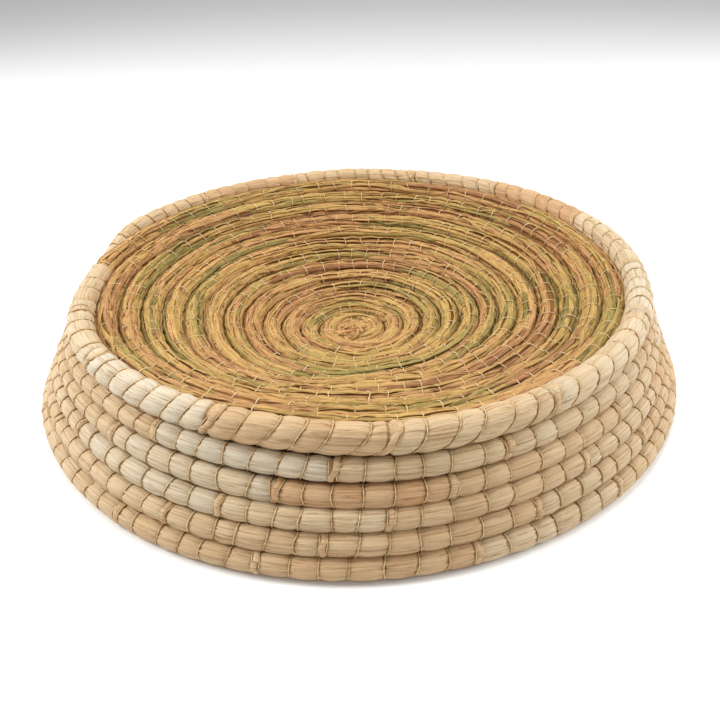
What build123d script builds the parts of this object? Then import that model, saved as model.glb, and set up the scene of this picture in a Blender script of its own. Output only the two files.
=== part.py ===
from build123d import *
import bisect
import math
import os

# A round coiled seat pad. One rope-like bundle of dry grass is wound outwards from a knot in
# the middle, each turn sewn to the last with thread, and dishes down towards the middle. At
# the edge the same bundle goes on wrapped in maize husk leaves: one thicker turn makes the
# rim, and the courses below it make a wall that leans outwards and stands on the floor.
# The pad is open underneath. +Z is up, the origin is under the middle, on the floor.
# A place along the bundle is given in turns: 0 where the husk begins, negative on the seat.

# Seat
seat_radius = 184.6          # middle of the bundle where the husk begins
seat_turns = 12.6            # turns of bare grass outside the knot
knot_radius = 13.2           # middle of the bundle where the knot ends
seat_floor_room = 3.9        # air under the lowest point of the seat
seat_curve = 1.5             # 1 is a cone and 2 a bowl
knot_turns = 0.75            # how far the tapered start curls round
knot_start_radius = 3.0      # middle of the bundle's tip
knot_tip_radius = 2.6        # half thickness of the bundle's tip

# Rim and wall
rim_coil_radius = 7.7
wall_coil_radius = 5.9
wall_courses = 5             # below the rim, at the front
wall_lean = math.radians(61.5)
rim_swell_turns = 0.08       # the husk thickens the bundle over this much
rim_thin_start = 0.60        # from here the rim turn thins to the wall's size
rim_over_start = 0.74        # from here the rim turn slips over the seat's edge
tail_start = 0.76            # part of a turn after which the last course thins out
tail_end = 0.87              # part of a turn where the bundle's tip lies
wall_low_start = 0.91        # part of a turn from which one course fewer reaches the floor
tail_tip_radius = 0.9
foot_flat_depth = 0.4        # the lowest course is pressed flat on the floor by this much

# Husk, thread and the room they need
husk_thickness = 1.2
wrap_gap = 0.2               # between the grass core and the husk round it
turn_gap = 0.9               # between neighbouring turns, where the thread passes
thread_radius = 0.35
leaf_turn = 0.075            # mean length of one husk leaf, in turns
leaf_spread = 0.18           # how unequal the leaves are, as a share of that
collar_length = 3.2          # folded end of a leaf, between two leaves
collar_gap = 0.15            # between a collar and the leaves beside it
collar_proud = 0.15          # a collar is this much thicker than the leaf
seat_stitch = 19.5           # along the bundle
wall_stitch = 15.0
stitch_room = 1.6            # least distance from the nearest stitch of the turn inside
foot_thread_open = math.radians(42)   # each side of straight down, on the lowest course
husk_start_angle = math.radians(163)  # seen from above, counter-clockwise from +X
sections_per_turn = 28
direction_step = 0.002       # turns either side of a place that give the bundle's direction
cut_over = 0.001             # turns by which a cutting tube passes the ends of what it cuts

seat_advance = (seat_radius - knot_radius) / seat_turns
low_height = wall_coil_radius - foot_flat_depth
wall_step = 2 * wall_coil_radius + turn_gap


def smooth(start, end, value):
    """Goes from 0 at start to 1 at end with level ends."""
    x = min(max((value - start) / (end - start), 0.0), 1.0)
    return x * x * (3 - 2 * x)


def seat_shape(radius):
    """Share of the seat's rise that is reached at a radius."""
    return (radius / seat_radius) ** seat_curve


def seat_slope(radius, rise):
    return seat_curve * rise * seat_shape(radius) / radius


def grass_radius(radius, rise):
    """Half thickness that fills the spacing of the turns, less the gap for the thread."""
    return (seat_advance * math.hypot(1, seat_slope(radius, rise)) - turn_gap) / 2


def solve_seat():
    """Height of the seat's edge and of its middle: the wall sets one, the floor the other."""
    edge = low_height + wall_courses * wall_step * math.sin(wall_lean)
    middle = edge / 2
    for _ in range(20):
        rise = edge - middle
        thick = grass_radius(seat_radius, rise)
        edge = low_height + math.sin(wall_lean) * (
            thick + wall_coil_radius + turn_gap + (wall_courses - 1) * wall_step
        )
        middle = seat_floor_room + grass_radius(knot_radius, rise)
    return edge, middle


edge_height, middle_height = solve_seat()
seat_rise = edge_height - middle_height
edge_slope = math.atan(seat_slope(seat_radius, seat_rise))


def seat_radius_at(turn):
    return seat_radius + turn * seat_advance


def coil_radius(turn):
    """Half thickness of the bundle, husk and all."""
    if turn <= 0:
        return grass_radius(seat_radius_at(turn), seat_rise)
    edge = grass_radius(seat_radius, seat_rise)
    rim = edge + (rim_coil_radius - edge) * smooth(0, rim_swell_turns, turn)
    thick = rim + (wall_coil_radius - rim) * smooth(rim_thin_start, 1, turn)
    tail = smooth(wall_courses + tail_start, wall_courses + tail_end, turn)
    return thick + (tail_tip_radius - thick) * tail


def rim_point(turn):
    """Radius and height of the rim turn, which lies beside the seat's last turn and then
    slips over its edge and down to where the wall begins."""
    inner = turn - 1
    radius = seat_radius_at(inner)
    height = middle_height + seat_rise * seat_shape(radius)
    over = smooth(rim_over_start, 1, turn)
    angle = edge_slope - (edge_slope + wall_lean) * over
    step = coil_radius(turn) + coil_radius(inner) + turn_gap
    return radius + step * math.cos(angle), height + step * math.sin(angle)


def lean_sine(part, courses):
    """Sine of the wall's lean that stands this many courses exactly on the floor."""
    height = rim_point(part)[1]
    run = coil_radius(part) + wall_coil_radius + turn_gap + (courses - 1) * wall_step
    return (height - low_height) / run


def wall_sine(part):
    """The lean's sine at this part of a turn. Past tail_start the front's count of courses
    gives way to one course fewer."""
    front = lean_sine(min(part, tail_start), wall_courses)
    back = lean_sine(max(part, wall_low_start), wall_courses - 1)
    return front + (back - front) * smooth(tail_start, wall_low_start, part)


def centre(turn):
    """Radius and height of the middle of the bundle."""
    if turn <= 0:
        radius = max(seat_radius_at(turn), 0)
        return radius, middle_height + seat_rise * seat_shape(radius)
    course = min(int(turn), wall_courses)
    part = turn - course
    radius, height = rim_point(part)
    if course == 0:
        return radius, height
    lean = math.asin(wall_sine(part))
    first = coil_radius(part) + wall_coil_radius + turn_gap
    if course < wall_courses or part <= tail_start:
        run = first + (course - 1) * wall_step
        return radius + run * math.cos(lean), height - run * math.sin(lean)
    # The tail lies on the floor under the course above it.
    run = first + (wall_courses - 2) * wall_step
    above_radius = radius + run * math.cos(lean)
    above_height = height - run * math.sin(lean)
    thick = coil_radius(turn)
    tail_height = thick - foot_flat_depth * thick / wall_coil_radius
    apart = wall_coil_radius + thick + turn_gap
    drop = above_height - tail_height
    return above_radius + math.sqrt(max(apart**2 - drop**2, 0)), tail_height


def foot_reach(angle):
    """How far from the seat's middle the wall's foot reaches at an angle."""
    part = (angle - husk_start_angle) / (2 * math.pi) % 1
    lowest = [part + wall_courses - 1, part + wall_courses]
    return max(
        centre(turn)[0] + coil_radius(turn)
        for turn in lowest
        if turn <= wall_courses + tail_end
    )


# The coil is a spiral, so its foot isn't quite round the seat's middle. The origin is under
# the middle of the foot.
shift_x = (foot_reach(math.pi) - foot_reach(0)) / 2
shift_y = (foot_reach(1.5 * math.pi) - foot_reach(0.5 * math.pi)) / 2


def spot(radius, angle, height):
    return Vector(shift_x + radius * math.cos(angle), shift_y + radius * math.sin(angle), height)


def coil_angle(turn):
    return husk_start_angle + 2 * math.pi * turn


def place(turn):
    """The point of the bundle's middle line at this turn."""
    radius, height = centre(turn)
    return spot(radius, coil_angle(turn), height)


def across(turn, point=place):
    """The plane square to the bundle, with its x direction as near straight up as it can be."""
    ahead = point(turn + direction_step)
    along = (ahead - point(turn - direction_step)).normalized()
    upright = (Vector(0, 0, 1) - along * along.Z).normalized()
    return Plane(origin=point(turn), x_dir=upright, z_dir=along)


def length_to_turns(length, turn):
    return length / (2 * math.pi * max(centre(turn)[0], knot_radius))


def tube(start, end, inset=0.0, point=place, thickness=coil_radius):
    """A round bundle through circles square to its middle line, thinner by the inset."""
    count = max(3, math.ceil((end - start) * sections_per_turn) + 1)
    rings = []
    for i in range(count):
        turn = start + (end - start) * i / (count - 1)
        rings.append(across(turn, point) * Circle(thickness(turn) - inset))
    return Solid.make_loft([ring.wire() for ring in rings])


def above_floor(solid):
    """The solid with what reaches under the floor taken off."""
    box = solid.bounding_box()
    if box.min.Z >= 0:
        return solid
    reach = 2 * max(abs(box.min.X), abs(box.max.X), abs(box.min.Y), abs(box.max.Y)) + 1
    deep = 2 * rim_coil_radius
    return solid - Pos(0, 0, -deep / 2) * Box(reach, reach, deep)


def start_knot():
    """The bundle's tapered start, curled up in the middle of the seat."""
    first = -seat_turns - knot_turns
    tip = first + 5 * direction_step

    def knot_share(turn):
        return min((turn - first) / knot_turns, 1)

    def knot_place(turn):
        share = knot_share(turn)
        radius = knot_start_radius + (knot_radius - knot_start_radius) * share
        height = middle_height + seat_rise * seat_shape(knot_radius) * share
        return spot(radius, coil_angle(turn), height)

    def knot_thickness(turn):
        full = coil_radius(-seat_turns)
        return knot_tip_radius + (full - knot_tip_radius) * knot_share(turn)

    last = -seat_turns - length_to_turns(collar_gap, -seat_turns)
    return tube(tip, last, 0.0, knot_place, knot_thickness)


def grass_turns():
    """The seat's turns of bare grass, from the knot outwards."""
    count = math.ceil(seat_turns)
    for number in range(1, count + 1):
        start = max(number - 1 - count, -seat_turns)
        yield f"grass_turn_{number:02d}", tube(start, number - count)


def wall_cores():
    """The grass inside the husk, one piece for the rim and one for each course below it."""
    inset = husk_thickness + wrap_gap
    tip = wall_courses + tail_start
    for course in range(wall_courses + 1):
        end = min(course + 1, tip)
        yield f"wall_core_{course_name(course)}", tube(course, end, inset)


def course_name(course):
    return "rim" if course == 0 else f"course_{course}"


def leaf_joints():
    """Where one husk leaf ends and the next begins, in turns. The leaves are unequal."""
    joints = [0.0]
    last = wall_courses + tail_end
    while joints[-1] < last - 1.5 * leaf_turn:
        uneven = math.sin(2.4 * len(joints)) + 0.4 * math.sin(5.3 * len(joints))
        joints.append(joints[-1] + leaf_turn * (1 + leaf_spread * uneven))
    joints.append(last)
    return joints


def husk_sleeve(start, end, proud=0.0):
    """Husk wrapped round the core between two places."""
    outer = tube(start, end, -proud)
    tip = wall_courses + tail_start
    if start < tip:
        outer -= tube(start - cut_over, min(end + cut_over, tip), husk_thickness)
    return above_floor(outer)


def husk_leaves_and_collars():
    """Each course's leaves as separate solids, and the folded ends between them."""
    joints = leaf_joints()
    leaves = {course: [] for course in range(wall_courses + 1)}
    collars = {course: [] for course in range(wall_courses + 1)}
    for number, (start, end) in enumerate(zip(joints, joints[1:])):
        half = length_to_turns(collar_length / 2 + collar_gap, start)
        lead = half if number else 0.0
        trail = half if number < len(joints) - 2 else 0.0
        leaves[int(start)].append(husk_sleeve(start + lead, end - trail))
        if number:
            fold = length_to_turns(collar_length / 2, start)
            collars[int(start)].append(husk_sleeve(start - fold, start + fold, collar_proud))
    for course in range(wall_courses + 1):
        yield f"husk_leaves_{course_name(course)}", Compound(children=leaves[course])
        yield f"husk_collars_{course_name(course)}", Compound(children=collars[course])


def stitches():
    """Places of all stitches, in turns, each clear of the ones on the turn inside it."""
    places = []
    turn = -seat_turns + length_to_turns(seat_stitch / 2, -seat_turns)
    while turn < wall_courses + tail_start:
        room = length_to_turns(stitch_room, turn)
        near = bisect.bisect_left(places, turn - 1 - room)
        while near < len(places) and places[near] < turn - 1 + room:
            turn = places[near] + 1 + room
            near += 1
        places.append(turn)
        turn += length_to_turns(seat_stitch if turn < 0 else wall_stitch, turn)
    return places


def stitch(turn):
    """A loop of thread round the bundle, in the gap between the turns. On the lowest course
    it is sewn through the husk, so it is open at the bottom."""
    ring = coil_radius(turn) + turn_gap / 2
    height = centre(turn)[1]
    plane = across(turn)
    if height - ring - thread_radius >= 0:
        return plane.location * Torus(ring, thread_radius)
    opening = 180 + math.degrees(foot_thread_open)
    span = 360 - 2 * math.degrees(foot_thread_open)
    return plane.location * Rot(0, 0, opening) * Torus(ring, thread_radius, 0, 360, span)


def threads():
    """The stitches of each turn as one node."""
    count = math.ceil(seat_turns)
    groups = {}
    for turn in stitches():
        whole = math.floor(turn)
        name = course_name(whole) if whole >= 0 else f"turn_{whole + count + 1:02d}"
        groups.setdefault(name, []).append(stitch(turn))
    for name, loops in groups.items():
        yield f"thread_{name}", Compound(children=loops)


os.makedirs("parts", exist_ok=True)
export_step(start_knot(), "parts/start_knot.step")
for group in (grass_turns(), wall_cores(), husk_leaves_and_collars(), threads()):
    for node, shape in group:
        export_step(shape, f"parts/{node}.step")
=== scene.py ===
import math

import bpy
import numpy as np
from mathutils import Matrix, Vector


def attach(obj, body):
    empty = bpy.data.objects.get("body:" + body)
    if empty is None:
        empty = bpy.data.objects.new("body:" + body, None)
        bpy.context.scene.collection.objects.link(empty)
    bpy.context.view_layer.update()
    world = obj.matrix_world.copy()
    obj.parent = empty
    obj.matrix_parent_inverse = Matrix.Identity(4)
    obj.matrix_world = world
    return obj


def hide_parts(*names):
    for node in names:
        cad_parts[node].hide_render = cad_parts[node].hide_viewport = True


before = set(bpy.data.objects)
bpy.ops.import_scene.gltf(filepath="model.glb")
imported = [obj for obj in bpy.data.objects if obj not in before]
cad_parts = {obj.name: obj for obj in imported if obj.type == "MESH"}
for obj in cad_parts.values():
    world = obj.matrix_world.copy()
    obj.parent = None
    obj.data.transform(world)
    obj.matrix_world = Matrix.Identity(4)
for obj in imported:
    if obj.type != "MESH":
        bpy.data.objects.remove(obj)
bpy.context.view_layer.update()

# Studio. A pale floor, a large soft light high on the left, a weaker one on the right, a
# third overhead and an even white surround. The camera looks down on the pad from the front.
floor_half = 6.0
lamp_target = (0, 0, 0.03)
surround_strength = 0.46


def aim(eye, target, roll=0.0):
    """Place and turn for a lamp or camera at eye that looks at target, rolled about its axis."""
    ahead = (Vector(target) - Vector(eye)).normalized()
    right = ahead.cross(Vector((0, 0, 1))).normalized()
    up = right.cross(ahead)
    x_axis = right * math.cos(roll) + up * math.sin(roll)
    y_axis = up * math.cos(roll) - right * math.sin(roll)
    turn = Matrix((x_axis, y_axis, -ahead)).transposed().to_4x4()
    return Matrix.Translation(Vector(eye)) @ turn


lens = bpy.data.cameras.new("camera")
lens.angle = math.radians(52.85)
camera = bpy.data.objects.new("camera", lens)
camera.matrix_world = aim((0.0397, -0.4655, 0.2854), (0.0026, -0.0181, 0.0010), math.radians(-1.75))
bpy.context.collection.objects.link(camera)
bpy.context.scene.camera = camera


def soft_lamp(name, eye, size, power):
    """A round area lamp at eye that points at the pad; size in metres and power in watts."""
    lamp = bpy.data.lights.new(name, "AREA")
    lamp.shape = "DISK"
    lamp.size = size
    lamp.energy = power
    holder = bpy.data.objects.new(name, lamp)
    holder.matrix_world = aim(eye, lamp_target)
    bpy.context.collection.objects.link(holder)


soft_lamp("key_light", (-1.2, 0.0, 1.0), 0.7, 19.0)
soft_lamp("fill_light", (1.3, 0.2, 0.8), 0.9, 15.5)
soft_lamp("top_light", (0.05, 0.25, 1.55), 0.8, 9.5)
world = bpy.data.worlds.new("surround")
world.use_nodes = True
world.node_tree.nodes["Background"].inputs["Color"].default_value = (1, 1, 1, 1)
world.node_tree.nodes["Background"].inputs["Strength"].default_value = surround_strength
bpy.context.scene.world = world
bpy.context.scene.view_settings.view_transform = "Standard"

floor_mesh = bpy.data.meshes.new("floor")
floor_mesh.from_pydata(
    [(x, y, 0) for x, y in ((-1, -1), (1, -1), (1, 1), (-1, 1))], [], [(0, 1, 2, 3)]
)
floor_mesh.transform(Matrix.Scale(floor_half, 4))
floor = bpy.data.objects.new("floor", floor_mesh)
bpy.context.collection.objects.link(floor)
paper = bpy.data.materials.new("floor_paper")
paper.use_nodes = True
paper_shader = paper.node_tree.nodes["Principled BSDF"]
paper_shader.inputs["Base Color"].default_value = (0.93, 0.93, 0.93, 1)
paper_shader.inputs["Roughness"].default_value = 0.9
floor_mesh.materials.append(paper)

# The bundle's path. One rope of dry grass is coiled from the middle of the seat out to the
# rim and down the wall. A place along it is given in turns, 0 where the husk begins, and
# the coil's frame there is its run, its outward side and its upper side.
seat_radius = 0.1846
seat_turns = 12.6
knot_radius = 0.0132
knot_turns = 0.75
knot_start_radius = 0.003
knot_tip = 0.0026
seat_floor_room = 0.0039
seat_curve = 1.5
rim_thick = 0.0077
wall_thick = 0.0059
wall_courses = 5
wall_lean = math.radians(61.5)
foot_flat = 0.0004
turn_gap = 0.0009
husk_start = math.radians(180)
rim_over_start = 0.93
rim_swell_end, rim_thin_start = 0.08, 0.60
tail_start, tail_end, low_start = 0.93, 1.0, 0.995
tail_tip = 0.0009
wall_step = 2 * wall_thick + turn_gap
low_height = wall_thick - foot_flat
first_turn, last_turn = -seat_turns - knot_turns, wall_courses + tail_end
advance = (seat_radius - knot_radius) / seat_turns


def smooth(start, end, value):
    """0 before start, 1 after end, and 3x^2 - 2x^3 between."""
    x = np.clip((value - start) / (end - start), 0, 1)
    return x * x * (3 - 2 * x)


def slope(radius, rise):
    """Steepness of the dish, whose height is rise times the radius's share of seat_radius to
    the power of seat_curve."""
    return seat_curve * rise * (radius / seat_radius) ** seat_curve / radius


def grass_thick(radius, rise):
    """Half thickness that fills the turns' spacing along the slope, less the gap."""
    return (advance * np.hypot(1, slope(radius, rise)) - turn_gap) / 2


edge_height = middle_height = 0.06
for _ in range(20):
    rise = edge_height - middle_height
    edge_run = grass_thick(seat_radius, rise) + wall_thick + turn_gap + (wall_courses - 1) * wall_step
    edge_height = low_height + math.sin(wall_lean) * edge_run
    middle_height = seat_floor_room + grass_thick(knot_radius, rise)
rise = edge_height - middle_height
edge_slope = math.atan(slope(seat_radius, rise))
edge_thick = grass_thick(seat_radius, rise)


def thickness(turn):
    """Half thickness: it fills the spacing of the turns on the seat, swells where the husk
    begins, thins to the wall's size along the rim and tapers off at the end."""
    radius = np.maximum(seat_radius + turn * advance, knot_radius)
    seat = grass_thick(np.minimum(radius, seat_radius), rise)
    rim = edge_thick + (rim_thick - edge_thick) * smooth(0, rim_swell_end, turn)
    wall = rim + (wall_thick - rim) * smooth(rim_thin_start, 1, turn)
    wall = wall + (tail_tip - wall) * smooth(wall_courses + tail_start, last_turn, turn)
    knot = np.clip((turn - first_turn) / knot_turns, 0, 1)
    return np.where(turn <= 0, knot_tip + (seat - knot_tip) * knot, wall)


def seat_line(turn):
    """Radius and height of the middle line on the seat: an even spiral on a curved dish,
    which curls up faster in the knot."""
    share = np.clip((turn - first_turn) / knot_turns, 0, 1)
    inner = knot_start_radius + (knot_radius - knot_start_radius) * share
    radius = np.where(turn < -seat_turns, inner, seat_radius + turn * advance)
    return radius, middle_height + rise * (np.maximum(radius, 0.001) / seat_radius) ** seat_curve


def rim_line(turn):
    """The rim turn lies beside the seat's last turn, then slips over its edge."""
    radius, height = seat_line(turn - 1)
    angle = edge_slope - (edge_slope + wall_lean) * smooth(rim_over_start, 1, turn)
    step = thickness(turn) + thickness(turn - 1) + turn_gap
    return radius + step * np.cos(angle), height + step * np.sin(angle)


def lean_sine(part, courses):
    """Sine of the wall's lean that takes this many courses from the rim's height to the floor."""
    part = np.asarray(part, float)
    run = thickness(part) + wall_thick + turn_gap + (courses - 1) * wall_step
    return (rim_line(part)[1] - low_height) / run


def wall_line(turn):
    """Each course lies one step further down the leaning wall, so that the last stands on
    the floor. The tail tucks in under the course above it."""
    course = np.clip(np.floor(turn), 0, wall_courses)
    part = turn - course
    radius, height = rim_line(part)
    front = lean_sine(np.minimum(part, tail_start), wall_courses)
    back = lean_sine(np.maximum(part, low_start), wall_courses - 1)
    lean = np.arcsin(front + (back - front) * smooth(tail_start, low_start, part))
    run = (thickness(part) + wall_thick + turn_gap + (course - 1) * wall_step) * (course > 0)
    tail = (course == wall_courses) & (part > tail_start)
    run = np.where(tail, run - wall_step, run)
    radius, height = radius + run * np.cos(lean), height - run * np.sin(lean)
    thick = thickness(turn)
    tail_height = thick * (1 - foot_flat / wall_thick)
    apart, drop = wall_thick + thick + turn_gap, height - tail_height
    aside = np.sqrt(np.maximum(apart**2 - drop**2, 0))
    return np.where(tail, radius + aside, radius), np.where(tail, tail_height, height)


turn_step = 0.002
turns = np.arange(first_turn - 0.02, last_turn + turn_step, turn_step)
line_radius, line_height = np.where(turns <= 0, seat_line(turns), wall_line(np.maximum(turns, 0)))
line_angle = husk_start + 2 * np.pi * turns
# The origin is under the middle of the foot, which the coil's spiral sets aside a little.
line = np.stack([line_radius * np.cos(line_angle), line_radius * np.sin(line_angle), line_height], 1)
lowest = turns > wall_courses - 1
reach = line_radius[lowest] + thickness(turns[lowest])


def reach_at(angle):
    """How far the lowest course reaches from the seat's middle at an angle."""
    off = np.angle(np.exp(1j * (line_angle[lowest] - angle)))
    return reach[np.abs(off) < 0.01].max()


shift_x = (reach_at(np.pi) - reach_at(0)) / 2
shift_y = (reach_at(1.5 * np.pi) - reach_at(0.5 * np.pi)) / 2
line += np.array([shift_x, shift_y, 0])
# Made by hand: the turns wander a little up and down and in and out, together.
hand = np.random.default_rng(7)
for amount, waves in ((0.0007, 2), (0.0006, 3), (0.0004, 5), (0.00025, 9)):
    swing = amount * np.sin(waves * line_angle + hand.uniform(0, 6) + 0.35 * turns)
    lift = amount * np.sin(waves * line_angle + hand.uniform(0, 6) + 0.5 * turns)
    fade = smooth(0.008, 0.060, line_radius) * smooth(last_turn, wall_courses - 0.3, turns)
    line[:, 0] += swing * fade * np.cos(line_angle)
    line[:, 1] += swing * fade * np.sin(line_angle)
    line[:, 2] += lift * fade * smooth(3.8, 2.5, turns)
run_dir = np.gradient(line, axis=0)
run_length = np.concatenate([[0], np.cumsum(np.linalg.norm(np.diff(line, axis=0), axis=1))])
run_dir /= np.linalg.norm(run_dir, axis=1)[:, None]
top_dir = np.array([0, 0, 1.0]) - run_dir * run_dir[:, 2:]
top_dir /= np.linalg.norm(top_dir, axis=1)[:, None]
out_dir = np.cross(run_dir, top_dir)


def length_at(turn):
    """Metres along the bundle from its start."""
    return np.interp(turn, turns, run_length)


def turn_at(length):
    """The place in turns at this length along the bundle."""
    return np.interp(length, run_length, turns)


def along_line(length, table):
    """A row of the table, x, y and z, read between its neighbours at this length."""
    return np.stack([np.interp(length, run_length, table[:, k]) for k in range(3)], -1)


def on_coil(length, around, reach_out):
    """The point at this length along the bundle, this angle round it from its outward side
    over the top, and this far from its middle line. The three broadcast together."""
    length, around, reach_out = np.broadcast_arrays(length, around, reach_out)
    point = along_line(length, line)
    out, top = along_line(length, out_dir), along_line(length, top_dir)
    side = np.cos(around)[..., None] * out + np.sin(around)[..., None] * top
    return point + reach_out[..., None] * side


# Stitches. They are 9 mm apart in the middle of the seat, 17.5 mm at its edge and 15 mm on
# the wall, a little uneven. Where one husk leaf is spliced to the next there are two
# stitches close together.
wall_stitch = 0.0150
middle_stitch, edge_stitch = 0.0090, 0.0175
stitch_rows = 8
row_slant = 0.3
leaf_turn, leaf_spread, splice_half = 0.075, 0.18, 0.0019
# The first leaf is shorter; like leaf_turn it is in turns.
first_leaf = 0.0574
turn_count = math.ceil(seat_turns)


def leaf_joints():
    """Where one husk leaf ends and the next begins, in turns."""
    joints = [0.0, first_leaf]
    while joints[-1] < last_turn - 1.5 * leaf_turn:
        uneven = math.sin(2.4 * len(joints)) + 0.4 * math.sin(5.3 * len(joints))
        joints.append(joints[-1] + leaf_turn * (1 + leaf_spread * uneven))
    return np.array(joints + [last_turn])


joints = length_at(leaf_joints())
seat_end = length_at(0.0)


def course_label(course):
    """The name that a turn of the coil goes by: negative on the seat, 0 on the rim."""
    if course < 0:
        return f"turn_{course + turn_count + 1:02d}"
    return "rim" if course == 0 else f"course_{course}"


def place_stitches():
    """Lengths of the seat's stitches, and of the wall's. On the seat each turn has a whole
    count of rows, closer together near the middle, and a row slants by row_slant of its
    spacing at each turn. On the wall they are evenly spaced between two splices. All are shifted a
    little by hand."""
    seat = []
    for turn in range(-turn_count, 0):
        radius = seat_radius + (turn + 0.5) * advance
        spacing = middle_stitch + (edge_stitch - middle_stitch) * radius / seat_radius
        count = stitch_rows * max(2, round(2 * math.pi * radius / spacing / stitch_rows))
        step = hand.uniform(-0.16, 0.16, count) + row_slant * turn % 1
        seat += list(turn + (np.arange(count) + step) / count)
    seat = np.sort(length_at(np.array(seat)))
    seat = seat[(seat > length_at(-seat_turns)) & (seat < seat_end - 0.004)]
    wall = []
    for start, end in zip(joints[:-1], joints[1:]):
        count = max(1, round((end - start) / wall_stitch))
        inner = start + (end - start) * np.arange(1, count) / count
        wall += list(inner + hand.uniform(-0.0016, 0.0016, inner.size))
        wall += [end - splice_half, end + splice_half]
    wall = np.array(wall[:-2])
    return seat, wall[wall < run_length[-1] - 0.03]


seat_sewn, wall_sewn = place_stitches()
sewn = np.concatenate([seat_sewn, wall_sewn])
sewn_turn = turn_at(sewn)
# How far the top of a stitch leans forward of its foot: most on the rim, hardly on the wall.
on_rim = (sewn_turn > -0.02) & (sewn_turn < 0.75)
seat_lean = hand.normal(0.0012, 0.0020, sewn.size)
wall_lean_forward = hand.normal(0.0006, 0.0009, sewn.size)
rim_lean = hand.normal(0.0056, 0.0008, sewn.size)
lean_forward = np.where(on_rim, rim_lean, np.where(sewn_turn < 0, seat_lean, wall_lean_forward))


def stitch_gap(length, around):
    """Distance along the bundle to the nearest stitch, allowing for the stitches' lean."""
    near = np.clip(np.searchsorted(sewn, length), 1, sewn.size - 1)
    best = np.full(np.broadcast(length, around).shape, 1.0)
    for pick in (near - 1, near):
        gap = length - sewn[pick] - lean_forward[pick] * np.sin(around)
        best = np.minimum(best, np.abs(gap))
    return best


def pillow_at(length, around):
    """Which pillow between two stitches a place is on, allowing for the stitches' lean."""
    near = np.clip(np.searchsorted(sewn, length), 1, sewn.size - 1)
    before = length < sewn[near - 1] + lean_forward[near - 1] * np.sin(around)
    after = length > sewn[near] + lean_forward[near] * np.sin(around)
    return near - before + after


def mesh_piece(name, points, along, across, values, capped=True):
    """A mesh of tubes from grids. points is (tubes, steps, round, 3), closed round each tube,
    with the steps running along it; along is the length at each step and across the width
    at each point round, both in metres, for the UV map; values are attributes by name."""
    tubes, steps, ring, _ = points.shape
    index = np.arange(tubes * steps * ring).reshape(tubes, steps, ring)
    here, ahead = index[:, :-1], index[:, 1:]
    beside, both = np.roll(here, -1, 2), np.roll(ahead, -1, 2)
    faces = np.stack([here, ahead, both, beside], -1).reshape(-1, 4)
    u0 = np.broadcast_to(along[:, :-1, None], here.shape)
    u1 = np.broadcast_to(along[:, 1:, None], here.shape)
    v = np.broadcast_to(across[:, None, :], (tubes, steps - 1, ring + 1))
    v0, v1 = v[..., :-1], v[..., 1:]
    uv = np.stack([np.stack([u0, u1, u1, u0], -1), np.stack([v0, v0, v1, v1], -1)], -1).reshape(-1, 2)
    verts = points.reshape(-1, 3)
    face_list = faces.tolist()
    if capped:
        ends = np.concatenate([points[:, 0].mean(1), points[:, -1].mean(1)])
        low = len(verts) + np.arange(tubes)[:, None] * np.ones(ring, int)
        first, last = index[:, 0], index[:, -1]
        start_cap = np.stack([low, first, np.roll(first, -1, 1)], -1).reshape(-1, 3)
        end_cap = np.stack([low + tubes, np.roll(last, -1, 1), last], -1).reshape(-1, 3)
        verts = np.concatenate([verts, ends])
        face_list += start_cap.tolist() + end_cap.tolist()
        cap_u = np.repeat(np.concatenate([along[:, 0], along[:, -1]]), ring * 3)
        uv = np.concatenate([uv, np.stack([cap_u, np.zeros_like(cap_u)], -1)])
    mesh = bpy.data.meshes.new(name)
    mesh.from_pydata(verts.tolist(), [], face_list)
    mesh.uv_layers.new(name="lay").data.foreach_set("uv", uv.astype(np.float32).ravel())
    for label, value in values.items():
        flat = np.broadcast_to(value, (tubes, steps, ring)).reshape(-1)
        if capped:
            value = np.broadcast_to(value, (tubes, steps, ring))
            flat = np.concatenate([flat, value[:, 0].mean(1), value[:, -1].mean(1)])
        layer = mesh.attributes.new(label, "FLOAT", "POINT")
        layer.data.foreach_set("value", flat.astype(np.float32))
    mesh.polygons.foreach_set("use_smooth", np.ones(len(mesh.polygons), bool))
    mesh.update()
    piece = bpy.data.objects.new(name, mesh)
    bpy.context.collection.objects.link(piece)
    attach(piece, "root")
    return piece


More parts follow.
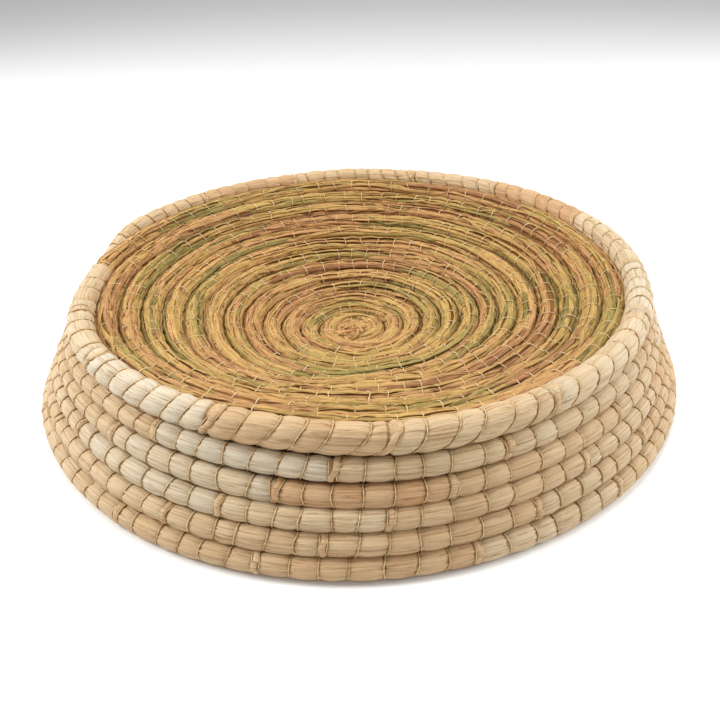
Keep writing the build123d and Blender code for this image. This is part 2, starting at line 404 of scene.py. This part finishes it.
class Finish:
    """Builds one material: nodes are added by kind and wired by socket name."""

    def __init__(self, name, roughness, specular=0.4):
        self.material = bpy.data.materials.new(name)
        self.material.use_nodes = True
        self.tree = self.material.node_tree
        self.shader = self.tree.nodes["Principled BSDF"]
        self.shader.inputs["Roughness"].default_value = roughness
        self.shader.inputs["Specular IOR Level"].default_value = specular

    def node(self, kind, settings=None, **links):
        """A node of this kind, with sockets or properties set and inputs linked by name."""
        made = self.tree.nodes.new(kind)
        for key, value in (settings or {}).items():
            if key in made.inputs:
                made.inputs[key].default_value = value
            else:
                setattr(made, key, value)
        for key, source in links.items():
            self.tree.links.new(source, made.inputs[key.replace("_", " ")])
        return made

    def attribute(self, name):
        """A number stored on the mesh under this name."""
        return self.node("ShaderNodeAttribute", {"attribute_name": name}).outputs["Fac"]

    def lay(self, along, across):
        """The UV map in metres, stretched to this many cells a metre each way."""
        uv = self.node("ShaderNodeUVMap", {"uv_map": "lay"}).outputs["UV"]
        scaled = self.node("ShaderNodeVectorMath", {"operation": "MULTIPLY"})
        self.tree.links.new(uv, scaled.inputs[0])
        scaled.inputs[1].default_value = (along, across, 1)
        return scaled.outputs[0]

    def shifted(self, vector, amount, step):
        """The same pattern moved off by an attribute, so that no two leaves are alike."""
        move = self.math("MULTIPLY", amount, step)
        joined = self.node("ShaderNodeCombineXYZ")
        self.tree.links.new(move, joined.inputs["Z"])
        added = self.node("ShaderNodeVectorMath", {"operation": "ADD"})
        self.tree.links.new(vector, added.inputs[0])
        self.tree.links.new(joined.outputs[0], added.inputs[1])
        return added.outputs[0]

    def noise(self, vector, detail=3.0, roughness=0.6):
        """Noise whose cell is one unit of the vector."""
        made = self.node("ShaderNodeTexNoise", {"Scale": 1.0, "Detail": detail, "Roughness": roughness})
        self.tree.links.new(vector, made.inputs["Vector"])
        return made.outputs["Fac"]

    def math(self, operation, first, second):
        """One sum on two sockets or numbers."""
        made = self.node("ShaderNodeMath", {"operation": operation})
        for socket, value in zip(made.inputs, (first, second)):
            if isinstance(value, (int, float)):
                socket.default_value = value
            else:
                self.tree.links.new(value, socket)
        return made.outputs[0]

    def ramp(self, fac, stops):
        """Colours at places from 0 to 1, blended evenly between."""
        made = self.node("ShaderNodeValToRGB")
        self.tree.links.new(fac, made.inputs["Fac"])
        bar = made.color_ramp.elements
        while len(bar) < len(stops):
            bar.new(0.5)
        for element, (place, colour) in zip(bar, stops):
            element.position = place
            element.color = (*colour, 1) if len(colour) == 3 else colour
        return made.outputs["Color"]

    def blend(self, kind, fac, first, second):
        """Two colours joined by a kind of mix, with its share."""
        made = self.node("ShaderNodeMix", {"data_type": "RGBA", "blend_type": kind})
        for socket, value in zip((made.inputs[0], made.inputs[6], made.inputs[7]), (fac, first, second)):
            if isinstance(value, (int, float)):
                socket.default_value = value
            elif isinstance(value, tuple):
                socket.default_value = (*value, 1)
            else:
                self.tree.links.new(value, socket)
        return made.outputs[2]

    def done(self, colour, height, depth, strength=0.6):
        """Wires colour and a bump of this depth in metres to the shader."""
        bump = self.node("ShaderNodeBump", {"Strength": strength, "Distance": depth})
        self.tree.links.new(height, bump.inputs["Height"])
        self.tree.links.new(bump.outputs["Normal"], self.shader.inputs["Normal"])
        self.tree.links.new(colour, self.shader.inputs["Base Color"])
        return self.material


# Seat. Bare dry grass: flat creased blades about 4 mm wide, laid side by side round the
# bundle and lapped over one another, each 6 to 17 cm long with its ends tucked in, over a
# packed middle darkened with painted shade. A few blades cross the others or have come
# loose at one end.
blade_lanes = 15
blade_steps = 42
blade_profile = np.array([(-1.0, 0.0), (-0.55, 0.9), (0.05, 0.45), (0.6, 1.0), (1.0, 0.0), (0.0, -0.8)])
seat_grip = 0.10
grip_reach = 0.0028
core_share, blade_share = 0.91, 0.975


def grass_finish():
    """Olive, golden and tan blades by their tint, with fibres along them, painted brown shade deep down and
    painted dark slits of shade between the blades.
    """
    grass = Finish("dry_grass", 0.58, 0.35)
    tint, deep = grass.attribute("tint"), grass.attribute("deep")
    fibre = grass.noise(grass.shifted(grass.lay(60, 1500), tint, 90.0), 4.0, 0.65)
    patch = grass.noise(grass.shifted(grass.lay(45, 200), tint, 37.0), 2.0, 0.5)
    slits = grass.noise(grass.shifted(grass.lay(95, 1250), tint, 53.0), 2.0, 0.5)
    shade = grass.math("ADD", tint, grass.math("MULTIPLY", grass.math("SUBTRACT", patch, 0.5), 0.45))
    body = grass.ramp(shade, [
        (0.00, (0.260, 0.210, 0.052)),
        (0.16, (0.375, 0.285, 0.082)),
        (0.32, (0.540, 0.355, 0.105)),
        (0.50, (0.600, 0.365, 0.120)),
        (0.66, (0.590, 0.325, 0.125)),
        (0.84, (0.520, 0.265, 0.110)),
        (1.00, (0.340, 0.155, 0.055)),
    ])
    streak = grass.ramp(fibre, [
        (0.32, (0.56, 0.47, 0.32)),
        (0.50, (0.98, 0.97, 0.93)),
        (0.70, (1.18, 1.20, 1.26)),
    ])
    body = grass.blend("MULTIPLY", 0.95, body, streak)
    # Painted shade: dark slits, as if shade lay in gaps between the blades.
    painted_slit_shade = grass.ramp(slits, [(0.35, (0.40, 0.28, 0.14)), (0.44, (1, 1, 1))])
    body = grass.blend("MULTIPLY", 0.9, body, painted_slit_shade)
    # Painted shade: brown darkening deep down, between the turns and where the stitches draw the bundle in.
    crease_painted_shade = grass.ramp(deep, [(0.0, (0.15, 0.07, 0.02)), (0.4, (0.50, 0.36, 0.21)), (0.8, (1, 1, 1))])
    body = grass.blend("MULTIPLY", 1.0, body, crease_painted_shade)
    return grass.done(body, grass.math("ADD", fibre, slits), 0.0009, 0.9)


grass_material = grass_finish()


def squeeze(length, around, thick, grip, reach_back):
    """The bundle's surface: full between stitches and drawn in by grip at each one, as a
    bell curve of half width reach_back."""
    gap = stitch_gap(length, around)
    return thick * (1 - grip * np.exp(-((gap / reach_back) ** 2)))


def grass_core(start, end):
    """The packed middle of the bundle between two turns, darkened with painted shade, as one closed tube."""
    length = np.linspace(length_at(start), length_at(end), int((end - start) * 120) + 12)[None]
    around = np.linspace(0, 2 * np.pi, 15)[:-1]
    thick = thickness(turn_at(length))[..., None]
    reach_out = squeeze(length[..., None], around, thick * core_share, seat_grip, grip_reach)
    return on_coil(length[..., None], around, reach_out), length


def lay_blades(random, begin, finish, untidy):
    """Start, size and place round the bundle of each blade: blades follow one another in
    lanes side by side, each a little under the end of the last, and an untidy share more
    lie across the lanes."""
    start, size, middle = [], [], []
    for lane in range(blade_lanes):
        at = begin - random.uniform(0, 0.06)
        while at < finish:
            long = random.uniform(0.055, 0.165)
            start.append(at)
            size.append(long)
            middle.append(2 * np.pi * (lane + random.normal(0, 0.25)) / blade_lanes)
            at += 0.84 * long
    extra = int(untidy * len(start))
    start = np.concatenate([start, random.uniform(begin, finish, extra)])
    size = np.concatenate([size, random.uniform(0.035, 0.110, extra)])
    middle = np.concatenate([middle, random.uniform(0, 2 * np.pi, extra)])
    across_lanes = np.arange(start.size) >= start.size - extra
    start = np.maximum(start, length_at(-seat_turns - 0.25))
    return start, np.minimum(size, (seat_end + 0.010 - start).clip(0.02)), middle, across_lanes


def grass_tint(place, around):
    """Colour comes in stretches along the bundle: three sine waves with lengths in metres,
    which one side of the bundle meets a little before the other."""
    place = place + 0.022 * np.cos(around)
    waves = 0.20 * np.sin(place * 2 * np.pi / 0.170 + 1.3)
    waves = waves + 0.17 * np.sin(place * 2 * np.pi / 0.413 + 0.4)
    return 0.50 + waves + 0.12 * np.sin(place * 2 * np.pi / 0.077)


def blades(first, last, seed):
    """Blades that begin between two turns, as grids. Each follows the bundle, drifts and sways round
    it, rises from the middle and sinks back in; its width swells and tapers, its section is
    a creased ribbon, and it tilts so that one edge is under its neighbour."""
    random = np.random.default_rng(seed)
    untidy = 0.55 - 0.33 * smooth(-seat_turns, -seat_turns + 4, first)
    start, size, middle, across_lanes = lay_blades(random, length_at(first), length_at(last), untidy)
    count = start.size
    column = (count, 1)
    share = np.linspace(0, 1, blade_steps)
    length = start[:, None] + size[:, None] * share
    drift = np.where(across_lanes, random.normal(0, 1.1, count), random.normal(0, 0.20, count))
    sway = random.normal(0, 0.09, column)
    sway = sway * np.sin(share * random.uniform(4, 12, column) + random.uniform(0, 6, column))
    middle = middle[:, None] + drift[:, None] * (share - 0.5) + sway
    taper = smooth(0, 0.12, share) * smooth(1, 0.86, share)
    swell = 1 + 0.16 * np.sin(share * random.uniform(5, 16, column) + random.uniform(0, 6, column))
    narrow, broad = random.uniform(0.0007, 0.0014, count), random.uniform(0.0014, 0.0023, count)
    half_wide = np.where(across_lanes, narrow, broad)
    width = half_wide[:, None] * (0.35 + 0.65 * taper) * swell
    layer = random.uniform(-0.0003, 0.0005, count) + 0.0006 * across_lanes
    rise_out = layer[:, None] - 0.0010 * (1 - taper)
    stray = random.uniform(size=count) < 0.035
    free = smooth(0.90, 1.0, share) * random.uniform(0.0012, 0.0036, column)
    rise_out = rise_out + np.where(stray[:, None], free, 0)
    tall = random.uniform(0.00040, 0.00085, column) * (0.4 + 0.6 * taper)
    wave = 0.00022 * np.sin(share * random.uniform(10, 40, column) + random.uniform(0, 6, column))
    thick = thickness(turn_at(length))
    across, high = blade_profile[:, 0], blade_profile[:, 1]
    tilt = random.normal(0.12, 0.22, count)[:, None, None]
    around = middle[..., None] + width[..., None] * across / thick[..., None]
    body = squeeze(length[..., None], around, thick[..., None] * blade_share, seat_grip, grip_reach)
    lift = tall[..., None] * high + tilt * width[..., None] * across
    reach_out = body + (rise_out + wave)[..., None] + lift
    points = on_coil(length[..., None], around, reach_out)
    tint = np.clip(grass_tint(start + size / 2, middle[:, 20]) + random.normal(0, 0.12, count), 0.02, 0.98)
    # Painted shade, stored on the mesh: darker deep among the blades, on the sides of the bundle that face
    # the neighbouring turns, and where a stitch draws the bundle in.
    beside = 0.55 + 0.45 * smooth(0.0, 0.40, np.abs(np.sin(around)))
    stitch_painted_shade = 0.25 * (1 - body / (thick[..., None] * blade_share)) / seat_grip
    deep = np.clip(0.86 + (reach_out - body) / 0.0012 - stitch_painted_shade, 0.06, 1) * beside
    wide = np.append(across, across[0]) * 0.0018 + 0.01 * random.uniform(size=column)
    return points, length, wide, tint[:, None, None], deep


def grass_turn(name, first, last, seed, nodes):
    """One turn of the seat: its middle, darkened with painted shade, and its blades as two pieces."""
    core_points, core_length = grass_core(first, last)
    across = np.linspace(0, 0.04, core_points.shape[2] + 1)[None]
    # The middle is darkened with painted shade, as if in the shade under the blades.
    core_painted_shade = {"tint": np.full((1, 1, 1), 0.55), "deep": np.full((1, 1, 1), 0.36)}
    core = mesh_piece(name + "_core", core_points, core_length, across, core_painted_shade)
    points, length, across, tint, deep = blades(first, last, seed)
    skin = mesh_piece(name + "_blades", points, length, across, {"tint": tint, "deep": deep})
    for piece in (core, skin):
        piece.data.materials.append(grass_material)
    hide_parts(*nodes)


for number in range(1, turn_count + 1):
    first = max(number - 1 - turn_count, -seat_turns)
    nodes = [f"grass_turn_{number:02d}"]
    grass_turn(f"grass_{number:02d}", first, number - turn_count, 100 + number, nodes)

# Knot. The bundle starts with a curl in the middle of the seat. Its blades are folded over
# one another there, in short arcs of all sizes, so that a low rounded knot fills the curl.
knot_top = middle_height + grass_thick(knot_radius, rise) + 0.0004
knot_reach = 0.0165
fold_steps, fold_step = 22, 0.0012


def knot_body():
    """The knot's packed middle: a flattened ball, rings of cos by height of sin."""
    climb = np.linspace(-0.5 * np.pi, 0.5 * np.pi, 12)[1:-1]
    around = -np.linspace(0, 2 * np.pi, 25)[:-1]
    radius = 0.0100 * np.cos(climb)[:, None]
    height = (knot_top - 0.0075) + 0.0060 * np.sin(climb)[:, None] + 0 * around
    points = np.stack([shift_x + radius * np.cos(around), shift_y + radius * np.sin(around), height], -1)
    return points[None], np.linspace(0, 0.012, climb.size)[None]


def knot_blades(seed, count=120):
    """Blades on arcs round centres near the middle. Their height falls away from the middle
    as a parabola and rises a little with each blade laid on; both ends dip down."""
    random = np.random.default_rng(seed)
    column = (count, 1)
    share = np.linspace(0, 1, fold_steps)
    centre = random.normal(0, 0.0038, (count, 2))
    radius = random.uniform(0.0015, 0.0130, column)
    radius = radius * (1 + 0.35 * np.sin(share * 4 + random.uniform(0, 6, column)))
    angle = random.uniform(0, 2 * np.pi, column) + random.uniform(1.0, 2.6, column) * share
    x = centre[:, :1] + radius * np.cos(angle) * 1.2
    y = centre[:, 1:] + radius * np.sin(angle)
    away = np.hypot(x, y) / knot_reach
    order = np.arange(count)[:, None] / count
    dip = smooth(0.16, 0.0, share) + smooth(0.84, 1.0, share)
    z = knot_top - 0.0022 * away**2 + 0.0014 * order - 0.0018 * dip - 0.0010
    middle = np.stack([shift_x + x, shift_y + y, z], -1)
    run = np.gradient(middle, axis=1)
    run /= np.linalg.norm(run, axis=2)[..., None]
    side = np.cross(run, (0, 0, 1.0))
    side /= np.linalg.norm(side, axis=2)[..., None]
    up = np.cross(side, run)
    across, high = blade_profile[:, 0], blade_profile[:, 1]
    taper = smooth(0, 0.2, share) * smooth(1, 0.8, share)
    width = random.uniform(0.0011, 0.0024, column) * (0.4 + 0.6 * taper)
    tall = random.uniform(0.0005, 0.0012, column)[..., None] * high
    lean = (random.normal(0, 0.35, column) + 0.5 * np.sin(3 * share))[..., None] * across
    rise_up = (tall + lean * width[..., None])[..., None] * up[:, :, None]
    points = middle[:, :, None] - (width[..., None] * across)[..., None] * -side[:, :, None] + rise_up
    length = np.cumsum(np.full((count, fold_steps), fold_step), 1)
    wide = np.append(across, across[0]) * 0.0014 + 0.01 * random.uniform(size=column)
    tint = np.clip(random.normal(0.64, 0.15, count), 0.05, 0.98)[:, None, None]
    # Painted shade: the blades laid first, under the others, are darker, and so are the ends that dip down
    # and the low parts of each blade's section.
    deep = np.clip(0.62 + 0.55 * order[..., None] + 0.25 * high - 0.35 * dip[..., None], 0.05, 1)
    return points, length, wide, tint, deep + np.zeros(points.shape[:3])


grass_turn("knot_curl", first_turn + 0.01, -seat_turns, 99, ["start_knot"])
body_points, body_length = knot_body()
# The knot's middle is darkened with painted shade.
body_painted_shade = {"tint": np.full((1, 1, 1), 0.6), "deep": np.full((1, 1, 1), 0.25)}
body_across = np.linspace(0, 0.04, body_points.shape[2] + 1)[None]
knot_middle = mesh_piece("knot_middle", body_points, body_length, body_across, body_painted_shade)
knot_grid = knot_blades(98)
knot_folds = mesh_piece("knot_folds", *knot_grid[:3], {"tint": knot_grid[3], "deep": knot_grid[4]})
for piece in (knot_middle, knot_folds):
    piece.data.materials.append(grass_material)

# Husk. Long dry leaves of maize husk are wound round the bundle from the rim on. Each is
# drawn in by every stitch and swells between them, with fine ridges and creases along it.
leaf_ring = 54
leaf_steps = 84
leaf_over = 1.07
leaf_swell = 0.07
leaf_pinch = 0.065
leaf_press = 0.05
rim_facing, wall_facing = 1.2, 0.35
girth_step = 0.0064
rib_height, pucker_height = 0.00042, 0.00012
floor_clear = 0.0002


def husk_finish():
    """Papery husk by its tint, ribbed along the leaf, with painted brown shade in the creases and painted
    shade along the wrinkles.
    """
    husk = Finish("maize_husk", 0.47, 0.4)
    tint, deep = husk.attribute("tint"), husk.attribute("deep")
    rib = husk.noise(husk.shifted(husk.lay(15, 900), tint, 70.0), 3.0, 0.6)
    fine = husk.noise(husk.shifted(husk.lay(30, 2600), tint, 50.0), 3.0, 0.6)
    cloud = husk.noise(husk.shifted(husk.lay(40, 90), tint, 31.0), 2.0, 0.5)
    shade = husk.math("ADD", tint, husk.math("MULTIPLY", husk.math("SUBTRACT", cloud, 0.5), 0.35))
    body = husk.ramp(shade, [
        (0.00, (0.680, 0.580, 0.430)),
        (0.18, (0.690, 0.550, 0.362)),
        (0.40, (0.670, 0.495, 0.293)),
        (0.62, (0.635, 0.435, 0.236)),
        (0.82, (0.625, 0.390, 0.202)),
        (1.00, (0.590, 0.320, 0.145)),
    ])
    both = husk.math("ADD", husk.math("MULTIPLY", rib, 0.55), husk.math("MULTIPLY", fine, 0.45))
    streak = husk.ramp(both, [
        (0.35, (0.58, 0.46, 0.32)),
        (0.48, (0.95, 0.94, 0.91)),
        (0.64, (1.12, 1.13, 1.16)),
    ])
    body = husk.blend("MULTIPLY", 0.9, body, streak)
    wrinkle = husk.noise(husk.shifted(husk.lay(70, 700), tint, 43.0), 4.0, 0.65)
    line_shade = husk.ramp(wrinkle, [(0.34, (0.66, 0.54, 0.40)), (0.44, (1, 1, 1))])
    body = husk.blend("MULTIPLY", 0.75, body, line_shade)
    # Painted shade: brown darkening by the stitches, in the hollows of ridges and puckers and where leaf ends
    # tuck under.
    crease_painted_shade = husk.ramp(deep, [(0.0, (0.26, 0.14, 0.06)), (0.35, (0.72, 0.57, 0.40)), (0.75, (1, 1, 1))])
    body = husk.blend("MULTIPLY", 1.0, body, crease_painted_shade)
    return husk.done(body, husk.math("ADD", both, husk.math("MULTIPLY", wrinkle, 0.9)), 0.0012, 0.85)


husk_material = husk_finish()


def ring_angles(ring, facing):
    """Angles round the bundle, closer together on the side that faces out of the pad."""
    even = np.linspace(0, 2 * np.pi, ring + 1)[:-1]
    return facing + even - 0.45 * np.sin(even)


rib_waves = ((2, 0.20), (5, 0.18), (8, 0.15), (12, 0.13), (17, 0.12), (22, 0.12), (29, 0.11))


def leaf_ribs(random, count, away, around):
    """Ridges along a leaf: sine waves round it, by count and height, that drift and fade in
    and out along it. Their heights add up to about one."""
    ribs = np.zeros(np.broadcast(away, around).shape)
    each = (count, 1, 1)
    for waves, amount in rib_waves:
        phase = random.uniform(0, 2 * np.pi, each)
        drift = random.normal(0, 10, each) * away
        fade = 0.6 + 0.4 * np.sin(random.uniform(60, 260, each) * away + random.uniform(0, 6, each))
        ribs += amount * fade * np.sin(waves * around + phase + drift)
    return ribs


def husk_course(name, start, end, seed, nodes):
    """The leaves of one course. Each is a tube round the bundle that swells between the
    stitches by their distance, with ridges, puckers that grow towards the stitches, and one
    lapped edge where the leaf closes on itself."""
    random = np.random.default_rng(seed)
    turns_at = leaf_joints()[:-1]
    picked = np.flatnonzero((turns_at >= start - 1e-9) & (turns_at < end - 1e-9))
    low, high = joints[picked], joints[picked + 1]
    count = picked.size
    length = low[:, None] + (high - low)[:, None] * np.linspace(0, 1, leaf_steps)
    away = (length - low[:, None])[..., None]
    around = ring_angles(leaf_ring, rim_facing if start == 0 else wall_facing)
    thick = thickness(turn_at(length))[..., None]
    gap = stitch_gap(length[..., None], around)
    pinch = leaf_pinch * np.exp(-((gap / 0.0011) ** 2))
    pillow = leaf_over - leaf_swell / 2 + leaf_swell * smooth(0, 0.0065, gap) - pinch
    # Between two stitches a pillow is a little fuller or thinner, and lighter or darker.
    number = pillow_at(length[..., None], around)
    plump = 1 + smooth(0, 0.004, gap) * (0.016 * np.sin(7.1 * number) + leaf_press * np.sin(around) ** 2)
    ribs = leaf_ribs(random, count, away, around)
    puckers = np.zeros_like(ribs)
    for waves in (9, 14, 20, 31):
        phase = random.uniform(0, 2 * np.pi, (count, 1, 1)) + random.normal(0, 160, (count, 1, 1)) * away
        puckers += np.sin(waves * around + phase)
    puckers *= pucker_height * np.exp(-((gap / 0.0040) ** 2))
    lap_at = random.uniform(0, 2 * np.pi, (count, 1, 1)) + random.normal(0, 3.0, (count, 1, 1)) * away
    lap = ((around - lap_at) % (2 * np.pi)) / (2 * np.pi)
    reach_out = thick * pillow * plump + rib_height * ribs + puckers + 0.0005 * (lap - 0.5)
    tuck = 1 - smooth(0.0, 0.0022, length - low[:, None]) * smooth(0.0, 0.0022, high[:, None] - length)
    reach_out = reach_out - 0.0009 * tuck[..., None]
    points = on_coil(length[..., None], around, reach_out)
    points[..., 2] = np.maximum(points[..., 2], floor_clear)
    # Painted shade, stored on the mesh: darker next to the stitches, in the hollows between ridges and
    # puckers, and where a leaf's ends tuck under.
    near = 0.36 + 0.64 * smooth(0.0003, 0.0013, gap)
    deep = np.clip(near + 0.40 * (ribs - 0.10) + 500 * puckers, 0.05, 1) * (1 - 0.6 * tuck[..., None])
    tint = leaf_tints[picked][:, None, None] + 0.05 * np.sin(3.7 * number)
    across = np.broadcast_to(np.append(around, around[0] + 2 * np.pi) * girth_step, (count, leaf_ring + 1))
    piece = mesh_piece(name, points, length, across, {"tint": tint, "deep": deep})
    piece.data.materials.append(husk_material)
    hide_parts(*nodes)


leaf_count = joints.size - 1
leaf_random = np.random.default_rng(31)
leaf_kinds, leaf_odds = [0.06, 0.26, 0.38, 0.50, 0.60, 0.80], [0.07, 0.20, 0.27, 0.26, 0.14, 0.06]
leaf_tints = leaf_random.choice(leaf_kinds, leaf_count, p=leaf_odds)
leaf_tints = leaf_tints + leaf_random.normal(0, 0.03, leaf_count)
# The leaves that face the front, by their place in the order of winding: 0 is nearly white
# and 1 a rosy tan.
front_tints = {0: 0.36, 1: 0.24, 2: 0.04, 3: 0.64, 4: 0.44, 5: 0.28, 15: 0.52, 16: 0.02, 17: 0.40, 18: 0.34}
front_tints.update({28: 0.50, 29: 0.16, 30: 0.84, 31: 0.58, 32: 0.40, 42: 0.12, 43: 0.34, 44: 0.56, 45: 0.34})
front_tints.update({55: 0.44, 56: 0.50, 57: 0.62, 58: 0.42, 68: 0.44, 69: 0.60, 70: 0.68, 71: 0.32, 72: 0.50})
leaf_tints[list(front_tints)] = list(front_tints.values())
for course in range(wall_courses + 1):
    label = course_label(course)
    inside = [f"husk_leaves_{label}", f"wall_core_{label}"]
    husk_course(f"husk_{label}", course, course + 1, 300 + course, inside)

# Splices. Where a leaf runs out its end is folded under into a narrow ruffled collar, held
# between two stitches, and the next leaf starts under it.


def collar_course(name, start, end, seed, nodes):
    """Short tubes round the bundle at each joint, raised and puckered by a sine round them."""
    random = np.random.default_rng(seed)
    at = joints[1:-1]
    at = at[(turn_at(at) >= start) & (turn_at(at) < end)]
    count, steps, ring = at.size, 8, 44
    share = np.linspace(-1, 1, steps)
    around = ring_angles(ring, rim_facing if start == 0 else wall_facing)
    near = np.clip(np.searchsorted(sewn, at), 1, sewn.size - 1)
    lean = lean_forward[near][:, None, None] * np.sin(around)
    length = at[:, None] + splice_half * 0.98 * share
    ruffle = 0.0004 * np.sin(4 * around + random.uniform(0, 6, (count, 1, 1)))
    along = length[..., None] + lean + ruffle
    thick = thickness(turn_at(length))[..., None]
    phase = random.uniform(0, 6, (count, 1, 1)) + 900 * (length - at[:, None])[..., None]
    pucker = 0.00007 * np.sin(14 * around + phase) + 0.00009 * np.sin(26 * around + phase)
    arch = (1 - share**2)[None, :, None]
    reach_out = thick * (leaf_over - 0.045) + 0.0008 * np.sqrt(arch) + pucker
    points = on_coil(along, around, reach_out)
    points[..., 2] = np.maximum(points[..., 2], floor_clear)
    tint = np.broadcast_to(np.clip(random.normal(0.60, 0.10, (count, 1, 1)), 0, 1), reach_out.shape)
    # Painted shade: darker at the collar's edges, where it meets the leaf, and in the hollows of its puckers.
    deep = np.clip(0.50 + 0.6 * arch + 1800 * pucker, 0.1, 1)
    across = np.broadcast_to(np.append(around, around[0] + 2 * np.pi) * girth_step, (count, ring + 1))
    piece = mesh_piece(name, points, length, across, {"tint": tint, "deep": deep})
    piece.data.materials.append(husk_material)
    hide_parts(*nodes)


for course in range(wall_courses + 1):
    label = course_label(course)
    collar_course(f"collar_{label}", course, course + 1, 400 + course, [f"husk_collars_{label}"])

# Thread. Thin twisted plant thread: each stitch goes right round the bundle, drawn in tight,
# and is hidden where it passes between two turns. It is finer on the seat.
seat_thread, wall_thread = 0.00033, 0.00040
thread_steps, thread_ring = 17, 4


def thread_finish():
    """Pale twisted thread, with the twist as slanting lines of painted shade round it."""
    thread = Finish("thread", 0.65, 0.3)
    tint = thread.attribute("tint")
    split = thread.node("ShaderNodeSeparateXYZ")
    thread.tree.links.new(thread.lay(900, 2400), split.inputs[0])
    slant = thread.math("ADD", split.outputs["X"], split.outputs["Y"])
    twist = thread.math("SINE", thread.math("MULTIPLY", slant, 2.0), 0)
    body = thread.ramp(tint, [
        (0.0, (0.84, 0.68, 0.40)),
        (0.5, (0.72, 0.52, 0.27)),
        (1.0, (0.54, 0.35, 0.16)),
    ])
    half = thread.math("ADD", thread.math("MULTIPLY", twist, 0.5), 0.5)
    # Painted shade: the grooves of the twist are darker.
    shade = thread.ramp(half, [(0.0, (0.72, 0.64, 0.52)), (0.6, (1, 1, 1))])
    return thread.done(thread.blend("MULTIPLY", 1.0, body, shade), twist, 0.0002, 0.4)


thread_material = thread_finish()


def thread_group(name, lengths, leans, seat, seed, nodes):
    """Stitches as thin tubes: the middle of each follows the drawn-in surface round the
    bundle while it leans forward with the sine of its height."""
    random = np.random.default_rng(seed)
    count, steps, ring = lengths.size, thread_steps, thread_ring
    radius = seat_thread if seat else wall_thread
    around = np.pi + np.linspace(0.10, 2 * np.pi - 0.10, steps)
    along = lengths[:, None] + leans[:, None] * np.sin(around)
    along = along + random.normal(0, 0.0004, (count, 1)) * np.sin(3 * around)
    thick = thickness(turn_at(lengths))[:, None]
    if seat:
        reach_out = thick * (1 - seat_grip) + 0.0008
    else:
        reach_out = thick * (leaf_over - leaf_swell / 2 - leaf_pinch) + radius * 0.9 + 0.0002
    reach_out = reach_out + random.normal(0, 0.00010, (count, 1))
    middle = on_coil(along, around, reach_out)
    side = on_coil(along, around, reach_out + 1.0) - middle
    forward = along_line(along, run_dir)
    turn_round = np.linspace(0, 2 * np.pi, ring + 1)[:-1] + np.pi / ring
    outward = np.cos(turn_round)[:, None] * side[:, :, None]
    points = middle[:, :, None] + radius * (outward - np.sin(turn_round)[:, None] * forward[:, :, None])
    points[..., 2] = np.maximum(points[..., 2], 0.0001)
    length = np.broadcast_to(np.linspace(0, 0.04, steps), (count, steps))
    across = np.broadcast_to(np.linspace(0, 0.0026, ring + 1), (count, ring + 1))
    tint = np.clip(random.normal(0.10 if seat else 0.50, 0.16, (count, 1, 1)), 0, 1)
    piece = mesh_piece(name, points, length, across, {"tint": tint})
    piece.data.materials.append(thread_material)
    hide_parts(*nodes)


for course in range(-turn_count, wall_courses + 1):
    chosen = (sewn_turn >= course) & (sewn_turn < course + 1)
    label = course_label(course)
    nodes = [f"thread_{label}"]
    thread_group(f"stitches_{label}", sewn[chosen], lean_forward[chosen], course < 0, 500 + course, nodes)
